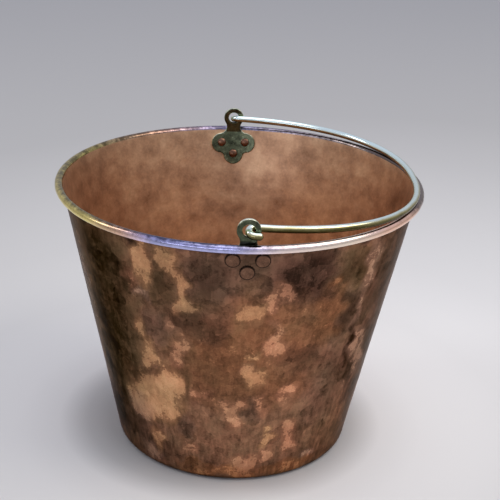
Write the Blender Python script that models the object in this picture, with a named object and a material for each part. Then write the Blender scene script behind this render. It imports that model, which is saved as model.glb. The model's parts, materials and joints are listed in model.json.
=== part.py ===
"""Peat bucket: a tapered copper bucket with a wired rim, two riveted brass ears and a brass bail.

Metres, +Z up. The origin is the centre of the ring that the bucket stands on. The ears are on the
Y axis, the front one at -Y. The bail is folded down to +X, where it lies on the rim, and it swings
about the line through both ears' eyes.
"""

from math import asin, atan2, ceil, cos, hypot, pi, radians, sin, tan, tau

import bmesh
import bpy
from mathutils import Matrix, Vector

# Bucket wall: one copper sheet, turned in at the foot and rolled outward round a wire at the rim
RIM_RADIUS = 0.185
HEIGHT = 0.280
BASE_RADIUS = 0.122
BASE_CORNER_RADIUS = 0.009
STANDING_RING_WIDTH = 0.018
SHEET = 0.0012
ROLL_SWEEP = radians(300)

# Wire inside the rolled rim
WIRE_RADIUS = 0.0026
WIRE_CLEARANCE = 0.0003

# Floor, lapped on the turned-in foot from inside
FLOOR_SHEET = 0.0012

# Clearance of a piece from what it is seated on
SEAT_CLEARANCE = 0.0003

# Ears: cast plates inside the wall, each with an eye above the rim
EAR_THICKNESS = 0.0036
EAR_EDGE = 0.0009
EYE_RADIUS = 0.0110
EYE_HOLE_RADIUS = 0.00575
EYE_RISE = 0.0119
LOBE_RADIUS = 0.0110
NECK_HOLLOW_RADIUS = 0.0075
LOBE_HOLLOW_RADIUS = 0.0040
EAR_CUT_SPACING = 0.005

# Rivets: two below the rim and one lower between them, through the wall and each ear
UPPER_RIVET_DROP = 0.0170
LOWER_RIVET_DROP = 0.0295
RIVET_SPREAD = 0.0135
SHANK_RADIUS = 0.0030
SHANK_CLEARANCE = 0.0003
HEAD_RADIUS = 0.0065
HEAD_THICKNESS = 0.0009
HEAD_EDGE = 0.0003
PEEN_RADIUS = 0.0048
PEEN_HEIGHT = 0.0020
CUTTER_OVERRUN = 0.006

# Bail: a round rod, bent to a bow a little fuller than a half circle and hooked outward through both eyes
ROD_RADIUS = 0.0035
HOOK_CLEARANCE = 0.0005
HOOK_DIP = 0.0036
EYE_PLAY = 0.0008
LEAD_LENGTH = 0.0070
TIP_LENGTH = 0.0126
TIP_ROUNDING = 0.0016
BOW_FULLNESS = 2.25
STEEPEST_DROOP = radians(20)

# Facets
TURN_STEPS = 84
RIVET_STEPS = 24
WIRE_SIDES = 10
CORNER_STEPS = 4
ROLL_STEPS = 11
PEEN_STEPS = 3
ROUNDING_SEGMENTS = 2
ROD_BEVEL_RESOLUTION = 3
DROOP_HALVINGS = 30
OUTLINE_STEP = radians(15)
HOOK_STEP = radians(15)
BOW_STEP = radians(3)
SHARP_ANGLE = radians(35)
MERGE_DISTANCE = 0.000001

ROLL_RADIUS = WIRE_RADIUS + WIRE_CLEARANCE + SHEET
ROLL_CENTRE = Vector((RIM_RADIUS - ROLL_RADIUS, HEIGHT - ROLL_RADIUS))
CORNER_CENTRE = Vector((BASE_RADIUS - BASE_CORNER_RADIUS, BASE_CORNER_RADIUS))
ROLL_MIDLINE_RADIUS = ROLL_RADIUS - SHEET / 2
CORNER_MIDLINE_RADIUS = BASE_CORNER_RADIUS - SHEET / 2


def wall_slope():
    """The wall's angle from upright: the line that leaves the corner's outside and meets the roll's inside."""
    across = ROLL_CENTRE - CORNER_CENTRE
    lean = atan2(across.x, across.y)
    return lean - asin((CORNER_MIDLINE_RADIUS + ROLL_MIDLINE_RADIUS) / across.length)


SLOPE = wall_slope()
WALL_NORMAL = Vector((cos(SLOPE), -sin(SLOPE)))


def wall_radius(height, offset):
    """Radius at a height on the line that lies offset outside the middle of the sheet."""
    point = CORNER_CENTRE + WALL_NORMAL * (CORNER_MIDLINE_RADIUS + offset)
    return point.x + (height - point.y) * tan(SLOPE)


# Places that follow from the sizes above
WALL_OUTSIDE = SHEET / 2
WALL_INSIDE = -SHEET / 2
EAR_OUTSIDE = WALL_INSIDE - SEAT_CLEARANCE
EYE_HEIGHT = HEIGHT + EYE_RISE
EAR_BEND_HEIGHT = ROLL_CENTRE.y
EYE_FACE_RADIUS = wall_radius(EAR_BEND_HEIGHT, EAR_OUTSIDE)
EYE_MIDDLE_RADIUS = EYE_FACE_RADIUS - EAR_THICKNESS / 2
PIN_HEIGHT = EYE_HEIGHT - EYE_HOLE_RADIUS + ROD_RADIUS + EYE_PLAY
HOOK_RADIUS = EAR_THICKNESS / 2 + HOOK_CLEARANCE + ROD_RADIUS
BOW_RADIUS = EYE_MIDDLE_RADIUS - HOOK_RADIUS

COPPER = (0.235, 0.095, 0.055)
FLOOR_COPPER = (0.260, 0.110, 0.065)
BRASS = (0.560, 0.440, 0.190)
IRON = (0.110, 0.105, 0.100)


def material(name, colour, roughness):
    """A plain metal in one colour."""
    made = bpy.data.materials.new(name)
    made.use_nodes = True
    shader = made.node_tree.nodes["Principled BSDF"]
    shader.inputs["Base Color"].default_value = (*colour, 1)
    shader.inputs["Metallic"].default_value = 1
    shader.inputs["Roughness"].default_value = roughness
    return made


def add_object(name, mesh, colour, roughness):
    """Puts a mesh in the scene as a named sub-part with its own material, shaded smooth."""
    mesh.shade_smooth()
    mesh.set_sharp_from_angle(angle=SHARP_ANGLE)
    mesh.materials.clear()
    mesh.materials.append(material(name, colour, roughness))
    added = bpy.data.objects.new(name, mesh)
    bpy.context.collection.objects.link(added)
    return added


def mesh_from(name, bm):
    """Turns a finished bmesh into a mesh with its faces pointing out."""
    bmesh.ops.remove_doubles(bm, verts=bm.verts, dist=MERGE_DISTANCE)
    bmesh.ops.recalc_face_normals(bm, faces=bm.faces)
    mesh = bpy.data.meshes.new(name)
    bm.to_mesh(mesh)
    bm.free()
    return mesh


def turned(name, profile, steps, closed):
    """Spins a profile of (radius, height) points round the Z axis."""
    bm = bmesh.new()
    verts = [bm.verts.new((radius, 0, height)) for radius, height in profile]
    pairs = list(zip(verts, verts[1:]))
    if closed:
        pairs.append((verts[-1], verts[0]))
    edges = [bm.edges.new(pair) for pair in pairs]
    bmesh.ops.spin(bm, geom=verts + edges, cent=(0, 0, 0), axis=(0, 0, 1), angle=tau, steps=steps, use_merge=True)
    return mesh_from(name, bm)


def arc(centre, radius, start, end, steps):
    """Points on an arc, both ends included."""
    angles = [start + (end - start) * step / steps for step in range(steps + 1)]
    return [Vector((centre.x + radius * cos(angle), centre.y + radius * sin(angle))) for angle in angles]


def steps_for(start, end, step):
    """How many equal steps of about this size an arc takes."""
    return max(1, ceil(abs(end - start) / step))


def angle_to(start, end):
    """Direction from one point to another."""
    across = end - start
    return atan2(across.y, across.x)


def wall_side(offset):
    """The sheet's outline on one side, from the foot's inner edge up the wall and round the roll."""
    foot = Vector((BASE_RADIUS - STANDING_RING_WIDTH, SHEET / 2 - offset))
    corner = arc(CORNER_CENTRE, CORNER_MIDLINE_RADIUS + offset, -pi / 2, -SLOPE, CORNER_STEPS)
    roll_start = pi - SLOPE
    roll = arc(ROLL_CENTRE, ROLL_MIDLINE_RADIUS - offset, roll_start, roll_start - ROLL_SWEEP, ROLL_STEPS)
    return [foot] + corner + roll


def body_wall():
    profile = wall_side(WALL_OUTSIDE) + wall_side(WALL_INSIDE)[::-1]
    return add_object("body_wall", turned("body_wall", profile, TURN_STEPS, closed=True), COPPER, 0.38)


def rim_wire():
    section = arc(ROLL_CENTRE, WIRE_RADIUS, 0, tau, WIRE_SIDES)[:-1]
    return add_object("rim_wire", turned("rim_wire", section, TURN_STEPS, closed=True), IRON, 0.6)


def floor_disc():
    radius = CORNER_CENTRE.x
    bottom = SHEET + SEAT_CLEARANCE
    top = bottom + FLOOR_SHEET
    profile = [(0, top), (radius, top), (radius, bottom), (0, bottom)]
    return add_object("floor_disc", turned("floor_disc", profile, TURN_STEPS, closed=False), FLOOR_COPPER, 0.45)


def hollow_centre(first, first_radius, second, second_radius, hollow_radius):
    """Centre of the hollow that runs smoothly into two round lobes, on the right of the way up."""
    reach_first = first_radius + hollow_radius
    reach_second = second_radius + hollow_radius
    across = second - first
    along = (reach_first**2 - reach_second**2 + across.length_squared) / (2 * across.length)
    aside = (reach_first**2 - along**2) ** 0.5
    way = across.normalized()
    return first + way * along + Vector((way.y, -way.x)) * aside


def ear_half(inset):
    """The right half of the ear's outline, from the lowest lobe up to the top of the eye."""
    lower = Vector((0, HEIGHT - LOWER_RIVET_DROP))
    upper = Vector((RIVET_SPREAD, HEIGHT - UPPER_RIVET_DROP))
    eye = Vector((0, EYE_HEIGHT))
    waist = hollow_centre(lower, LOBE_RADIUS, upper, LOBE_RADIUS, LOBE_HOLLOW_RADIUS)
    neck = hollow_centre(upper, LOBE_RADIUS, eye, EYE_RADIUS, NECK_HOLLOW_RADIUS)
    runs = [
        (lower, LOBE_RADIUS - inset, -pi / 2, angle_to(lower, waist)),
        (waist, LOBE_HOLLOW_RADIUS + inset, angle_to(waist, lower), angle_to(waist, upper)),
        (upper, LOBE_RADIUS - inset, angle_to(upper, waist), angle_to(upper, neck)),
        (neck, NECK_HOLLOW_RADIUS + inset, angle_to(neck, upper) + tau, angle_to(neck, eye)),
        (eye, EYE_RADIUS - inset, angle_to(eye, neck), pi / 2),
    ]
    points = []
    for centre, radius, start, end in runs:
        points += arc(centre, radius, start, end, steps_for(start, end, OUTLINE_STEP))[:-1]
    return points + [Vector((0, EYE_HEIGHT + EYE_RADIUS - inset))]


def ear_outline(inset):
    """The whole outline, anticlockwise, and the eye's hole."""
    half = ear_half(inset)
    other = [Vector((-point.x, point.y)) for point in half[-2:0:-1]]
    hole = arc(Vector((0, EYE_HEIGHT)), EYE_HOLE_RADIUS + inset, 0, tau, steps_for(0, tau, OUTLINE_STEP))
    return [half + other, hole[:-1]]


def flat_ear():
    """The ear as a flat plate: width along X, height along Y and thickness along Z, its edges eased."""
    bm = bmesh.new()
    half = EAR_THICKNESS / 2
    layers = [(-half, EAR_EDGE), (EAR_EDGE - half, 0), (half - EAR_EDGE, 0), (half, EAR_EDGE)]
    rings = []
    for level, inset in layers:
        rings.append([[bm.verts.new((x, y, level)) for x, y in loop] for loop in ear_outline(inset)])
    for below, above in zip(rings, rings[1:]):
        for low, high in zip(below, above):
            for index in range(len(low)):
                bm.faces.new((low[index - 1], low[index], high[index], high[index - 1]))
    for ring in (rings[0], rings[-1]):
        edges = [bm.edges.get((loop[index - 1], loop[index])) for loop in ring for index in range(len(loop))]
        bmesh.ops.triangle_fill(bm, edges=edges, use_beauty=True)
    return bm


def cut_across(bm, places, axis):
    """Cuts the mesh at places along one axis, so that it can bend there."""
    for place in places:
        geometry = bm.verts[:] + bm.edges[:] + bm.faces[:]
        bmesh.ops.bisect_plane(bm, geom=geometry, dist=MERGE_DISTANCE, plane_co=axis * place, plane_no=axis)


def seated(point):
    """Where a point of the flat ear lies on the inside of the wall: curved with it, and upright above the rim."""
    face = wall_radius(min(point.y, EAR_BEND_HEIGHT), EAR_OUTSIDE)
    radius = face - EAR_THICKNESS / 2 + point.z
    neck_share = (point.y - EAR_BEND_HEIGHT) / (EYE_HEIGHT - EYE_RADIUS - EAR_BEND_HEIGHT)
    curl_share = 1 - min(max(neck_share, 0), 1)
    curl = radius - (radius**2 - point.x**2) ** 0.5
    return Vector((point.x, curl * curl_share - radius, point.y))


def ear(name, turn, cutter):
    """One ear, turned round the Z axis to its side of the bucket and drilled for its rivets."""
    bm = flat_ear()
    cuts = ceil((RIVET_SPREAD + LOBE_RADIUS) / EAR_CUT_SPACING)
    cut_across(bm, [EAR_CUT_SPACING * cut for cut in range(1 - cuts, cuts)], Vector((1, 0, 0)))
    cut_across(bm, [EAR_BEND_HEIGHT, EYE_HEIGHT - EYE_RADIUS], Vector((0, 1, 0)))
    for vert in bm.verts:
        vert.co = seated(vert.co)
    bmesh.ops.rotate(bm, verts=bm.verts, cent=(0, 0, 0), matrix=Matrix.Rotation(turn, 3, "Z"))
    made = add_object(name, mesh_from(name, bm), BRASS, 0.3)
    drill(made, cutter)
    return made


def drill(piece, cutter):
    """Cuts the rivet holes out of a piece."""
    holes = piece.modifiers.new("rivet_holes", "BOOLEAN")
    holes.operation = "DIFFERENCE"
    holes.solver = "EXACT"
    holes.object = cutter


def rivet_places():
    """Each rivet's name and its matrix: on the wall's outside, with Z pointing straight out of the wall."""
    spots = [
        ("left", -RIVET_SPREAD, UPPER_RIVET_DROP),
        ("right", RIVET_SPREAD, UPPER_RIVET_DROP),
        ("lower", 0, LOWER_RIVET_DROP),
    ]
    places = []
    for side, turn in (("front", 0), ("rear", pi)):
        for spot, spread, drop in spots:
            height = HEIGHT - drop
            radius = wall_radius(height, WALL_OUTSIDE)
            angle = asin(spread / radius) - pi / 2 + turn
            outward = Vector((cos(angle), sin(angle), 0))
            normal = outward * WALL_NORMAL.x + Vector((0, 0, WALL_NORMAL.y))
            place = outward * radius + Vector((0, 0, height))
            matrix = Matrix.Translation(place) @ normal.to_track_quat("Z", "Y").to_matrix().to_4x4()
            places.append((f"{side}_rivet_{spot}", matrix))
    return places


def rivet_holes():
    """The cutter for all rivet holes in the wall and the ears. It isn't a sub-part."""
    bm = bmesh.new()
    depth = 2 * (SHEET + EAR_THICKNESS + CUTTER_OVERRUN)
    radius = SHANK_RADIUS + SHANK_CLEARANCE
    for _, matrix in rivet_places():
        bmesh.ops.create_cone(
            bm, cap_ends=True, segments=RIVET_STEPS, radius1=radius, radius2=radius, depth=depth, matrix=matrix
        )
    cutter = bpy.data.objects.new("rivet_holes", mesh_from("rivet_holes", bm))
    cutter.display_type = "WIRE"
    cutter.hide_render = True
    bpy.context.collection.objects.link(cutter)
    return cutter


def rivet(name, matrix):
    """A flat head outside the wall, a shank through wall and ear, and a hammered head inside the ear."""
    head_bottom = SEAT_CLEARANCE
    head_top = head_bottom + HEAD_THICKNESS
    inside = -(SHEET + SEAT_CLEARANCE + EAR_THICKNESS + SEAT_CLEARANCE)
    profile = [
        (0, head_top),
        (HEAD_RADIUS - HEAD_EDGE, head_top),
        (HEAD_RADIUS, head_top - HEAD_EDGE),
        (HEAD_RADIUS, head_bottom),
        (SHANK_RADIUS, head_bottom),
        (SHANK_RADIUS, inside),
    ]
    for step in range(PEEN_STEPS + 1):
        angle = pi / 2 * step / PEEN_STEPS
        profile.append((PEEN_RADIUS * cos(angle), inside - PEEN_HEIGHT * sin(angle)))
    made = add_object(name, turned(name, profile, RIVET_STEPS, closed=False), COPPER, 0.4)
    made.matrix_world = matrix
    return made


def bow_point(angle):
    """A point of the bow's front half, from the end of its lead at no angle to its far end at a right angle."""
    power = 2 / BOW_FULLNESS
    x = LEAD_LENGTH + BOW_RADIUS * sin(angle) ** power
    return Vector((x, -BOW_RADIUS * cos(angle) ** power, HOOK_DIP / 2))


def bail_path():
    """The rod's middle line with the hinge line as the Y axis: tip, hook and half the bow, then the same mirrored."""
    hook_centre = Vector((HOOK_RADIUS, -EYE_MIDDLE_RADIUS))
    tip = Vector((TIP_LENGTH, hook_centre.y - HOOK_RADIUS, -HOOK_DIP / 2))
    hook = []
    for point in arc(hook_centre, HOOK_RADIUS, -pi / 2, -3 * pi / 2, steps_for(0, pi, HOOK_STEP)):
        rise_share = (point.y - hook_centre.y) / HOOK_RADIUS
        hook.append(Vector((point.x, point.y, HOOK_DIP / 2 * rise_share)))
    steps = steps_for(0, pi / 2, BOW_STEP)
    bow = [bow_point(pi / 2 * step / steps) for step in range(steps)]
    half = [tip] + hook + bow
    far_end = Vector((LEAD_LENGTH + BOW_RADIUS, 0, HOOK_DIP / 2))
    return half + [far_end] + [Vector((point.x, -point.y, point.z)) for point in half[::-1]]


def rim_distance(droop):
    """The rod's least distance from the rolled rim, middle to middle, with the bail turned down by an angle."""
    turn = Matrix.Rotation(droop, 3, "Y")
    distances = []
    for point in bail_path():
        place = turn @ point
        across = hypot(place.x, place.y) - ROLL_CENTRE.x
        distances.append(hypot(across, PIN_HEIGHT + place.z - ROLL_CENTRE.y))
    return min(distances)


def rest_droop():
    """How far the folded bail turns down from level until it lies on the rim."""
    apart = ROLL_RADIUS + SEAT_CLEARANCE + ROD_RADIUS
    clear, blocked = 0, STEEPEST_DROOP
    for _ in range(DROOP_HALVINGS):
        middle = (clear + blocked) / 2
        if rim_distance(middle) > apart:
            clear = middle
        else:
            blocked = middle
    return clear


def bail_handle():
    curve = bpy.data.curves.new("bail_handle", "CURVE")
    curve.dimensions = "3D"
    curve.twist_mode = "Z_UP"
    curve.bevel_depth = ROD_RADIUS
    curve.bevel_resolution = ROD_BEVEL_RESOLUTION
    curve.use_fill_caps = True
    path = bail_path()
    spline = curve.splines.new("POLY")
    spline.points.add(len(path) - 1)
    for point, place in zip(spline.points, path):
        point.co = (*place, 1)
    rod = bpy.data.objects.new("bail_rod", curve)
    bm = bmesh.new()
    bm.from_mesh(bpy.data.meshes.new_from_object(rod))
    bpy.data.objects.remove(rod)
    bmesh.ops.remove_doubles(bm, verts=bm.verts, dist=MERGE_DISTANCE)
    caps = [face for face in bm.faces if len(face.verts) > 4]
    ends = [edge for cap in caps for edge in cap.edges]
    bmesh.ops.bevel(
        bm, geom=ends, offset=TIP_ROUNDING, segments=ROUNDING_SEGMENTS, profile=0.5, affect="EDGES", material=-1
    )
    made = add_object("bail_handle", mesh_from("bail_handle", bm), BRASS, 0.25)
    made.location = (0, 0, PIN_HEIGHT)
    made.rotation_euler = (0, rest_droop(), 0)
    return made


def build():
    for old in list(bpy.data.objects):
        bpy.data.objects.remove(old)
    cutter = rivet_holes()
    drill(body_wall(), cutter)
    rim_wire()
    floor_disc()
    ear("front_ear", 0, cutter)
    ear("rear_ear", pi, cutter)
    for name, matrix in rivet_places():
        rivet(name, matrix)
    bail_handle()


build()
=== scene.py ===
"""Looks of a hammered copper peat bucket with brass ears and a brass bail.

Metres, +Z up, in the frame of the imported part: the bucket stands on the origin, the ears are on the
Y axis with the front one at -Y, and the bail lies folded on the rim at +X. Lengths that are easier to
read in millimetres or degrees have names that end in _mm or _deg. A name that ends in _share or _sway
says how much of something is taken.
"""

import json
import logging
import random
from dataclasses import dataclass, field
from enum import Enum
from math import asin, atan2, cos, degrees, hypot, pi, radians, sin, tan, tau
from typing import Any

import bmesh
import bpy
import numpy as np
from bmesh.types import BMesh, BMFace, BMVert
from bpy.types import Material, Node, NodeSocket, NodeTree, Object
from mathutils import Matrix, Vector, kdtree, noise

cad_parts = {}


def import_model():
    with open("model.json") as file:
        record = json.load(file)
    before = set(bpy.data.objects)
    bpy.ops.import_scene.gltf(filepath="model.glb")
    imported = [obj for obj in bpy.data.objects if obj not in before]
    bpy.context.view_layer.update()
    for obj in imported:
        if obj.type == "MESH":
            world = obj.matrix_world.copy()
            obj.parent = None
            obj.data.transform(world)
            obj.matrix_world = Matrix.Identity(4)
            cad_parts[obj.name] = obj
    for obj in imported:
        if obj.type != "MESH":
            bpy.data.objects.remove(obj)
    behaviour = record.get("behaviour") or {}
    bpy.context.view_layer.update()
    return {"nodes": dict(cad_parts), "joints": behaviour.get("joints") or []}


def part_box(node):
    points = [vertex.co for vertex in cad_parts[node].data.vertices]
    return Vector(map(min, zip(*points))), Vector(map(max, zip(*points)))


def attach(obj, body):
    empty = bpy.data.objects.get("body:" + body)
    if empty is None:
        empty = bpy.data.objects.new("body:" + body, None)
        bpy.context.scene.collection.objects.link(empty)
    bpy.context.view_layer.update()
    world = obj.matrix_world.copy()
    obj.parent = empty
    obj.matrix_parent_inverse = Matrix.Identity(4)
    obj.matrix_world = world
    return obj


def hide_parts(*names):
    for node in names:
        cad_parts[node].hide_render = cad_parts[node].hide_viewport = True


LOG = logging.getLogger("peat_bucket")
MM = 0.001
MERGE = 0.01 * MM
X_AXIS = Vector((1, 0, 0))
Y_AXIS = Vector((0, 1, 0))
Z_AXIS = Vector((0, 0, 1))

Shares = tuple[tuple[str, float], ...]
Span = tuple[float, float]
Stops = tuple[tuple[float, str], ...]
Patches = dict["Tint", tuple[tuple[float, ...], ...]]


class Slot(Enum):
    """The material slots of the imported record."""

    COPPER = "copper"
    FLOOR = "floor_copper"
    BRASS = "cast_brass"
    RIVET = "rivet_copper"
    ROD = "rod_brass"


class Side(Enum):
    """The two ears' sides of the bucket, as turns round the Z axis."""

    FRONT = 0.0
    REAR = pi


class Tint(Enum):
    """The casts of bare copper and of the patina on it, and the colours of the rim's painted reflections,
    as sRGB.
    """

    BROWN = "#705544"
    TAN = "#b88f6b"
    SALMON = "#a87a62"
    PINK = "#a48474"
    ORANGE = "#a9744f"
    RUST = "#7a5242"
    UMBER = "#604c42"
    PLUM = "#46332f"
    OLIVE = "#564733"
    # GOLD to SMOKE colour only the rim, as painted reflections of the surroundings and painted highlights
    GOLD = "#b4a455"
    LAVENDER = "#a4a8da"
    ROSE = "#ecd8d2"
    CREAM = "#f4e2cc"
    PEACH = "#e0b094"
    SMOKE = "#7c6c66"


def linear(colour: str) -> tuple[float, float, float, float]:
    """Turns an sRGB hex colour into the linear values that shaders take.

    Args:
        colour: such as "#b87240".

    Returns:
        Red, green, blue and an alpha of 1.
    """
    channels = [int(colour[place : place + 2], 16) / 255 for place in (1, 3, 5)]
    return (*[c / 12.92 if c <= 0.04045 else ((c + 0.055) / 1.055) ** 2.4 for c in channels], 1.0)


def per_metre(size_mm: float) -> float:
    """The scale of a texture whose features are about this many millimetres apart."""
    return 1 / (size_mm * MM)


def outward(place: Vector) -> Vector:
    """The level direction from the bucket's axis to a place."""
    return Vector((place.x, place.y, 0)).normalized()


def feed(node: Node, sockets: dict[Any, Any]) -> None:
    """Sets a node's inputs.

    Args:
        node: a node in a tree.
        sockets: for each input, by name or number, a value or the output that feeds it.
    """
    for place, value in sockets.items():
        if isinstance(value, NodeSocket):
            node.id_data.links.new(value, node.inputs[place])
        else:
            node.inputs[place].default_value = value


def add_node(
    tree: NodeTree,
    kind: str,
    sockets: dict[Any, Any],
    output: int | str = 0,
    stops: Stops = (),
    **settings: Any,
) -> NodeSocket:
    """Adds a node to a tree, with its settings, socket values and links.

    Args:
        tree: the node tree.
        kind: the node's type, such as "ShaderNodeTexNoise".
        sockets: for each input, by name or number, a value or the output that feeds it.
        output: the output to give back, by name or number.
        stops: a colour ramp's places from 0 to 1, each with its sRGB colour.
        settings: the node's own properties.

    Returns:
        The chosen output of the new node.
    """
    node = tree.nodes.new(kind)
    for name, value in settings.items():
        setattr(node, name, value)
    feed(node, sockets)
    for number, (place, colour) in enumerate(stops):
        band = node.color_ramp.elements
        element = band[number] if number < len(band) else band.new(place)
        element.position = place
        element.color = linear(colour)
    return node.outputs[output]


def half(shares: Shares) -> float:
    """What some shares of patterns add up to where every pattern is at its middle value of 0.5."""
    return sum(share for _, share in shares) / 2


def add_up(
    tree: NodeTree, start: float | NodeSocket, patterns: dict[str, NodeSocket], shares: Shares
) -> NodeSocket:
    """Adds shares of several patterns to a tone, one after another.

    Args:
        tree: the node tree.
        start: the tone before anything is added.
        patterns: the patterns by name.
        shares: the names of the patterns that are added, and how much of each.

    Returns:
        The sum.
    """
    for name, share in shares:
        sockets = {0: patterns[name], 1: share, 2: start}
        start = add_node(tree, "ShaderNodeMath", sockets, operation="MULTIPLY_ADD")
    return start


def new_material(name: str) -> tuple[Material, NodeTree, Node]:
    """Makes an empty metal.

    Args:
        name: what the real material is.

    Returns:
        The material, its node tree and its Principled shader.
    """
    material = bpy.data.materials.new(name)
    material.use_nodes = True
    shader = material.node_tree.nodes["Principled BSDF"]
    shader.inputs["Metallic"].default_value = 1
    return material, material.node_tree, shader


@dataclass(frozen=True)
class Grain:
    """A random pattern: the size of its clouds, how fine it goes, and how far it is drawn out downwards."""

    size_mm: float
    detail: float = 4
    drawn_out: float = 1
    fine_share: float = 0.6

    def add(self, tree: NodeTree, place: NodeSocket, output: int | str = 0) -> NodeSocket:
        """Adds the pattern to a tree.

        Args:
            tree: the node tree.
            place: the places where it is read, in metres.
            output: 0 for one value at each place, or "Color" for three.

        Returns:
            The values, from 0 to 1.
        """
        sockets = {"Scale": per_metre(self.size_mm), "Detail": self.detail, "Roughness": self.fine_share}
        drawn = {"Vector": place, "Scale": (1, 1, 1 / self.drawn_out)}
        sockets["Vector"] = add_node(tree, "ShaderNodeMapping", drawn)
        return add_node(tree, "ShaderNodeTexNoise", sockets, output)


@dataclass(frozen=True)
class Waver:
    """The unevenness of hand work: how far a surface swings in and out, and over what length."""

    swing_mm: float
    length_mm: float

    def at(self, place: Vector) -> float:
        """How far out the surface goes at a place, in metres."""
        return noise.noise(place * per_metre(self.length_mm)) * self.swing_mm * MM


@dataclass(frozen=True)
class PatinatedCopper:
    """Hammered copper sheet, brown with age, which handling and heat have rubbed bare in ragged patches.

    The eye sees warm browns that change from one hammer facet to the next, tan and salmon patches with
    broken edges that are lined light, darker tide marks, and faint upright streaks where water ran down,
    which are stronger near the foot. Some of the patches are painted reflections, pale and dark bands at
    the sides of the front, and a dark line all round under the rim is painted shade.
    """

    name: str = "hammered copper with brown patina"
    stops: Stops = (
        (0.0, "#1f1510"),
        (0.14, "#41301f"),
        (0.32, "#6f5140"),
        (0.50, "#976b54"),
        (0.68, "#b88a6a"),
        (0.86, "#d8ab82"),
        (1.0, "#efcfa8"),
    )
    middle_tone: float = 0.445
    tint_share: float = 0.8
    redder: str = "#fdeee6"
    greener: str = "#f2f2e8"
    hue_band: Span = (0.35, 0.65)
    edge_colour: str = "#bab6b2"
    cloud: Grain = Grain(52, 3)
    hue: Grain = Grain(30, 4)
    blotch: Grain = Grain(12, 4)
    tide: Grain = Grain(26, 5)
    crumb: Grain = Grain(2.0, 4)
    streak: Grain = Grain(4.0, 4, drawn_out=8)
    pit: Grain = Grain(1.8, 2)
    drift: Grain = Grain(9, 4)
    facet_mm: float = 15
    small_facet_mm: float = 6
    edge_sways: Shares = (("blotch", 1.4), ("crumb", 0.9), ("small_facet", 0.3), ("streak", 0.5))
    patch_from: float = 0.44
    bare_band: float = 0.18
    caked_band: float = 0.30
    line_from: float = 0.20
    line_half_width: float = 0.05
    tide_width: float = 0.03
    drips_from: float = 0.120
    drips_full: float = 0.040
    tone_sways: Shares = (
        ("cloud", 0.34),
        ("facet", 0.15),
        ("small_facet", 0.12),
        ("blotch", 0.22),
        ("streak", 0.26),
        ("crumb", 0.28),
    )
    # The bare and rubbed marks include painted pale reflections; the soot and caked ones include painted
    # dark reflections and painted shade
    mark_shares: Shares = (
        ("drips", 0.34),
        ("bare", 0.15),
        ("rubbed_and_sheen", 0.27),
        ("patch_line", 0.07),
        ("tide_mark", -0.05),
        ("soot_and_shade", -0.24),
        ("caked", -0.08),
    )
    roughness_rubbed: float = 0.24
    roughness_dark: float = 0.33
    roughness_sways: Shares = (("blotch", 0.24), ("crumb", 0.16))
    relief_shares: Shares = (("blotch", 3.0),)
    bump_mm: float = 0.07
    bump_strength: float = 0.6

    def patterns(self, tree: NodeTree, place: NodeSocket) -> dict[str, NodeSocket]:
        """Adds the patterns that the tones are made of.

        Args:
            tree: the node tree.
            place: the places where they are read, in metres.

        Returns:
            Each pattern, from 0 to 1, by its name.
        """
        drift = self.drift.add(tree, place, "Color")
        swing = (self.drift.size_mm * MM,) * 3
        sockets = {0: drift, 1: swing, 2: place}
        moved = add_node(tree, "ShaderNodeVectorMath", sockets, operation="MULTIPLY_ADD")
        found = {
            "cloud": self.cloud.add(tree, place),
            "blotch": self.blotch.add(tree, moved),
            "crumb": self.crumb.add(tree, place),
            "streak": self.streak.add(tree, place),
        }
        for name, size_mm in (("facet", self.facet_mm), ("small_facet", self.small_facet_mm)):
            sockets = {"Vector": moved, "Scale": per_metre(size_mm)}
            cells = add_node(tree, "ShaderNodeTexVoronoi", sockets, "Color")
            found[name] = add_node(tree, "ShaderNodeSeparateColor", {0: cells})
        # The rubbed patches carry painted pale reflections too, and the soot painted dark reflections and
        # painted shade
        for name in ("rubbed_and_sheen", "soot_and_shade"):
            found[name] = add_node(tree, "ShaderNodeAttribute", {}, "Fac", attribute_name=name)
        return found

    def add_marks(self, tree: NodeTree, place: NodeSocket, patterns: dict[str, NodeSocket]) -> None:
        """Adds the marks: bare patches with a light line, caked ones, tide marks and drips. The bare ones
        include painted pale reflections, the caked ones painted dark reflections and painted shade.

        Args:
            tree: the node tree.
            place: the places where they are read, in metres.
            patterns: the patterns so far, to which the marks are added by name.
        """
        start = self.patch_from + half(self.edge_sways)
        for name, cause, band in (("bare", "rubbed_and_sheen", self.bare_band), ("caked", "soot_and_shade", self.caked_band)):
            amount = add_up(tree, patterns[cause], patterns, self.edge_sways)
            sockets = {"Value": amount, 1: start, 2: start + band}
            patterns[name] = add_node(tree, "ShaderNodeMapRange", sockets, interpolation_type="SMOOTHSTEP")
            if name == "bare":
                sockets = {0: amount, 1: start + self.line_from, 2: self.line_half_width}
                patterns["patch_line"] = add_node(tree, "ShaderNodeMath", sockets, operation="COMPARE")
        tide = self.tide.add(tree, place)
        middle = add_node(tree, "ShaderNodeMath", {0: tide, 1: 0.5}, operation="PINGPONG")
        sockets = {"Value": middle, 1: 0.5 - self.tide_width, 2: 0.5}
        patterns["tide_mark"] = add_node(tree, "ShaderNodeMapRange", sockets)
        rise = add_node(tree, "ShaderNodeSeparateXYZ", {0: place}, "Z")
        low = add_node(tree, "ShaderNodeMapRange", {"Value": rise, 1: self.drips_from, 2: self.drips_full})
        streak = add_node(tree, "ShaderNodeMath", {0: patterns["streak"], 1: 0.5}, operation="SUBTRACT")
        patterns["drips"] = add_node(tree, "ShaderNodeMath", {0: streak, 1: low}, operation="MULTIPLY")

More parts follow.
